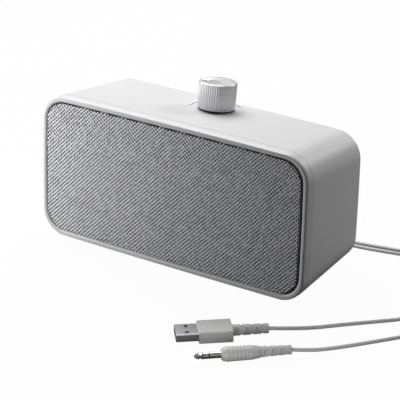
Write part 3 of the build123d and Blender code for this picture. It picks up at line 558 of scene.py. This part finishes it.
# %% Routes
CORD = 2.1                         # cord diameter, mm
DESK, LOW_TURN, HIGH_TURN = 1.05, 1.55, 3.65   # heights of the cord's middle
OUTER_TURN = 16.8                  # radius of the coil's outer turn
PER_TURN = 16                      # points in each turn
LOW_TURNS, HIGH_TURNS = 5, 4.25
LANE_CHANGE = 0.25                 # share of a turn in which the cord moves one turn in
CLIMB = 0.45                       # share of a turn in which it climbs to the upper layer
usb_rear = [(41, 34.23, 7.863), (41, 40.3, 7.4), (44.1, 45.6, 6), (49.6, 48.5, 4), (57.5, 49.3, 2),
            (66.5, 48.9, DESK), (76, 49.1, DESK), (88, 51.3, DESK), (100.8, 54.1, DESK), (113, 56.6, DESK),
            (126, 58.4, 1.25)]
usb_front = [(157, 27, 1.9), (155, 12, DESK), (149, -2.5, DESK), (138.5, -15.4, DESK), (125.3, -28.2, DESK),
             (114.6, -38.6, DESK), (104.8, -48.9, DESK), (95.4, -58.2, 2.0), (86.573, -66.654, 3.4)]
audio_rear = [(34, 34.23, 7.863), (34, 41.2, 7.3), (37.6, 47.6, 5.8), (44, 51.6, 3.9), (52.5, 53, 2.1),
              (62.5, 52.7, DESK), (72.5, 53.2, DESK), (84.5, 55.4, DESK), (98.7, 58.2, DESK),
              (111.5, 61.3, DESK), (124.5, 64, DESK), (138, 65, DESK), (150.5, 63.6, DESK),
              (161.5, 59.3, DESK), (171, 54.8, 1.25)]
audio_front = [(196.8, 21, 1.9), (189.5, 7.5, DESK), (176.2, -4.6, DESK), (160.5, -17.6, DESK),
               (147.6, -33, DESK), (138.8, -44.6, DESK), (130.4, -55.2, DESK), (122.6, -64.6, DESK),
               (116, -73.2, 2.1), (109.163, -80.806, 4.0)]


def coil_turns(centre_x, centre_y):
    """Points of a neat coil: inward on the desk, then outward on top."""
    turns = []
    steps = int((LOW_TURNS + HIGH_TURNS) * PER_TURN)
    reach = 2 / (1 + math.cos(math.pi / PER_TURN))   # the spline runs inside its points
    for k in range(steps + 1):
        turn = k / PER_TURN
        lane = min(turn, LOW_TURNS - 1) if turn < LOW_TURNS else LOW_TURNS - 1 - (turn - LOW_TURNS)
        whole = math.floor(lane)
        shift = min(1.0, max(0.0, (lane - whole - 1 + LANE_CHANGE) / LANE_CHANGE))
        lane = max(0.0, whole + shift)
        radius = (OUTER_TURN - CORD * lane) * reach
        climb = min(1.0, max(0.0, (turn - LOW_TURNS + CLIMB) / CLIMB))
        angle = math.pi / 2 - 2 * math.pi * turn
        turns.append((centre_x + radius * math.cos(angle), centre_y + radius * math.sin(angle),
                      LOW_TURN + (HIGH_TURN - LOW_TURN) * climb))
    return turns


print("points in a coil:", len(coil_turns(0, 0)))

# %% Cords
def lay_cord(name, cad_names, points):
    """Round cord on one smooth spline through these places, in millimetres."""
    curve = bpy.data.curves.new(name, "CURVE")
    curve.dimensions = "3D"
    curve.resolution_u = 6
    curve.bevel_depth = CORD / 2 * MM
    curve.bevel_resolution = 5
    curve.use_fill_caps = True
    spline = curve.splines.new("NURBS")
    spline.points.add(len(points) - 1)
    for point, place in zip(spline.points, points):
        point.co = (*(c * MM for c in place), 1.0)
    spline.order_u = 3
    spline.use_endpoint_u = True
    made = bpy.data.objects.new(name, curve)
    bpy.context.collection.objects.link(made)
    curve.materials.append(cord_pvc)
    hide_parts(*cad_names)
    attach(made, "cabinet")
    return made


# %% [markdown]
# ## The 3.5 mm plug's grip
#
# The grip is moulded round the pin: a short cone in front, a barrel with seven
# shallow rings for the fingers, and a taper to the sleeve that guards the
# cord.  It is one outline turned about the plug's axis.

# %% Plug grip
PIN_TIP, PIN_ANGLE = Vector((71.1, -114.6, 4.0)), math.radians(41.6)
PIN_LENGTH, GRIP_LENGTH, GRIP_RADIUS = 14.0, 20.5, 4.0
GRIP_AROUND = 64
RINGS, FIRST_RING, RING_PITCH = 7, 2.4, 2.05
RING_GROOVE, RING_SHOULDER, RING_SLIM = 0.26, 0.08, 0.03   # the rings grow slimmer to the rear


def grip_outline():
    """(radius, distance from the pin's tip) pairs along the grip."""
    line = [(1.75, 0.0), (2.3, 0.0), (2.75, 0.12), (3.3, 0.75), (3.6, 1.25), (3.72, 1.9)]
    for ring in range(RINGS):
        at = FIRST_RING + ring * RING_PITCH
        radius = GRIP_RADIUS - RING_SLIM * ring
        line += [(GRIP_RADIUS - RING_GROOVE, at), (radius - RING_SHOULDER, at + 0.3), (radius, at + 0.6),
                 (radius, at + RING_PITCH - 0.45), (radius - RING_SHOULDER, at + RING_PITCH - 0.2)]
    line += [(3.6, 17.1), (3.45, 18.4), (3.2, 19.8), (3.0, 20.35), (2.6, GRIP_LENGTH), (0.0, GRIP_LENGTH)]
    return [(r, PIN_LENGTH + d) for r, d in line]


def turned_grip():
    """The grip, turned about the plug's axis."""
    run = Vector((math.cos(PIN_ANGLE), math.sin(PIN_ANGLE), 0))
    side = Vector((-run.y, run.x, 0))
    mesh = bmesh.new()
    angles = [2 * math.pi * k / GRIP_AROUND for k in range(GRIP_AROUND)]
    rings = []
    for radius, distance in grip_outline():
        centre = PIN_TIP + run * distance
        rings.append([mesh.verts.new((centre + side * radius * math.cos(angle)
                                      + Vector((0, 0, radius * math.sin(angle)))) * MM) for angle in angles])
    for one, two in zip(rings, rings[1:]):
        join_rings(mesh, one, two)
    mesh.faces.new(rings[0])
    bmesh.ops.remove_doubles(mesh, verts=mesh.verts, dist=1e-6)
    return to_object("ringed_grip", mesh)


ringed_grip = turned_grip()
ringed_grip.data.materials.append(plug_pvc)
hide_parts("jack_grip")
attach(ringed_grip, "cabinet")
print("grip faces:", len(ringed_grip.data.polygons))

# %% Lay the leads
USB_COIL, AUDIO_COIL = (140, 42), (181, 36)
usb_lead = lay_cord("usb_lead", ("usb_cord", "usb_cord_coil"),
                    usb_rear + coil_turns(*USB_COIL) + usb_front)
audio_lead = lay_cord("audio_lead", ("audio_cord", "audio_cord_coil"),
                      audio_rear + coil_turns(*AUDIO_COIL) + audio_front)
print("points along the leads:", [len(lead.data.splines[0].points) for lead in (usb_lead, audio_lead)])

# %% [markdown]
# ## Desk and light
#
# The speaker stands on a white sweep.  The camera sees it as plain white; for
# the light it sends back it is a mid grey, so the cabinet's side keeps its
# shade.  A big soft light hangs above and behind on the left, and a smaller
# one stands close to the left end of the front, so the light falls off along
# the cloth.  On the right, a small one far behind draws the knob's second edge
# and the cabinet's rounded corner, and a weak low one lights its side.  One in
# front lights the plugs and leads alone.  The room's walls light little, but
# glossy surfaces see them brighter.

# %% Desk
DESK_REACH = 6.0                   # half of its width, m
SEEN_WHITE = 1.1                   # what the camera sees of desk and walls
SEEN_SHARE = 0.88                  # the rest shows the shadows on the desk

desk_mesh = bpy.data.meshes.new("desk")
desk_mesh.from_pydata([(x * DESK_REACH, y * DESK_REACH, 0) for x, y in ((-1, -1), (1, -1), (1, 1), (-1, 1))],
                      [], [(0, 1, 2, 3)])
desk = bpy.data.objects.new("desk", desk_mesh)
bpy.context.collection.objects.link(desk)
desk_paper, paper_tree = new_material("paper_sweep_white")
bounce = add_node(paper_tree, "ShaderNodeBsdfDiffuse", {"Color": linear("#6E6E6E")})
seen = add_node(paper_tree, "ShaderNodeEmission", {"Color": (1, 1, 1, 1), "Strength": SEEN_WHITE})
seen_share = add_node(paper_tree, "ShaderNodeLightPath")
share = add_node(paper_tree, "ShaderNodeMath", {0: seen_share.outputs["Is Camera Ray"], 1: SEEN_SHARE},
                 operation="MULTIPLY")
mixed = add_node(paper_tree, "ShaderNodeMixShader", {0: share.outputs[0], 1: bounce.outputs[0],
                                                     2: seen.outputs[0]})
add_node(paper_tree, "ShaderNodeOutputMaterial", {"Surface": mixed.outputs[0]})
desk_mesh.materials.append(desk_paper)
print("desk:", 2 * DESK_REACH, "m wide")

# %% World
WALL_LIGHT, WALL_SHINE = 0.05, 0.30   # what the walls give, and what glossy surfaces see

world = bpy.data.worlds.new("studio")
bpy.context.scene.world = world
world.use_nodes = True
walls = world.node_tree
walls.nodes.clear()
ray = add_node(walls, "ShaderNodeLightPath")
mirrored = add_node(walls, "ShaderNodeMapRange", {"Value": ray.outputs["Is Glossy Ray"],
                                                  "To Min": WALL_LIGHT, "To Max": WALL_SHINE})
air = add_node(walls, "ShaderNodeBackground", {"Color": (1, 1, 1, 1), "Strength": mirrored.outputs["Result"]})
backdrop = add_node(walls, "ShaderNodeBackground", {"Color": (1, 1, 1, 1), "Strength": SEEN_WHITE})
sky = add_node(walls, "ShaderNodeMixShader", {0: ray.outputs["Is Camera Ray"], 1: air.outputs[0],
                                              2: backdrop.outputs[0]})
add_node(walls, "ShaderNodeOutputWorld", {"Surface": sky.outputs[0]})
print("world nodes:", len(walls.nodes))


# %% Lights
def soft_light(name, place, aim, size, power, only=()):
    """Square soft light at a place, aimed at a point, in metres and watts; `only` lights these."""
    data = bpy.data.lights.new(name, "AREA")
    data.size, data.energy = size, power
    lamp = bpy.data.objects.new(name, data)
    bpy.context.collection.objects.link(lamp)
    lamp.location = place
    lamp.rotation_euler = (Vector(aim) - Vector(place)).to_track_quat("-Z", "Y").to_euler()
    if only:
        receivers = bpy.data.collections.new(name)
        lamp.light_linking.receiver_collection = receivers
        for lit in only:
            receivers.objects.link(lit)


plug_names = ("usb_shell", "usb_grip", "usb_relief", "jack_relief", "jack_contacts")
plug_pieces = [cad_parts[name] for name in plug_names] + [ringed_grip, usb_lead, audio_lead]
soft_light("overhead", (-0.30, 0.26, 0.60), (0, 0, 0.05), 0.50, 5.7)
soft_light("left_front", (-0.21, -0.165, 0.085), (-0.03, -0.03, 0.05), 0.13, 0.50)
soft_light("plug_light", (0.16, -0.26, 0.05), (0.08, -0.09, 0.0), 0.10, 0.20, plug_pieces)
soft_light("right_back", (0.42, 0.76, 0.50), (0.08, 0, 0.07), 0.24, 3.0)
soft_light("right_side", (0.30, 0.30, 0.05), (0.08, 0.03, 0.03), 0.12, 0.10)
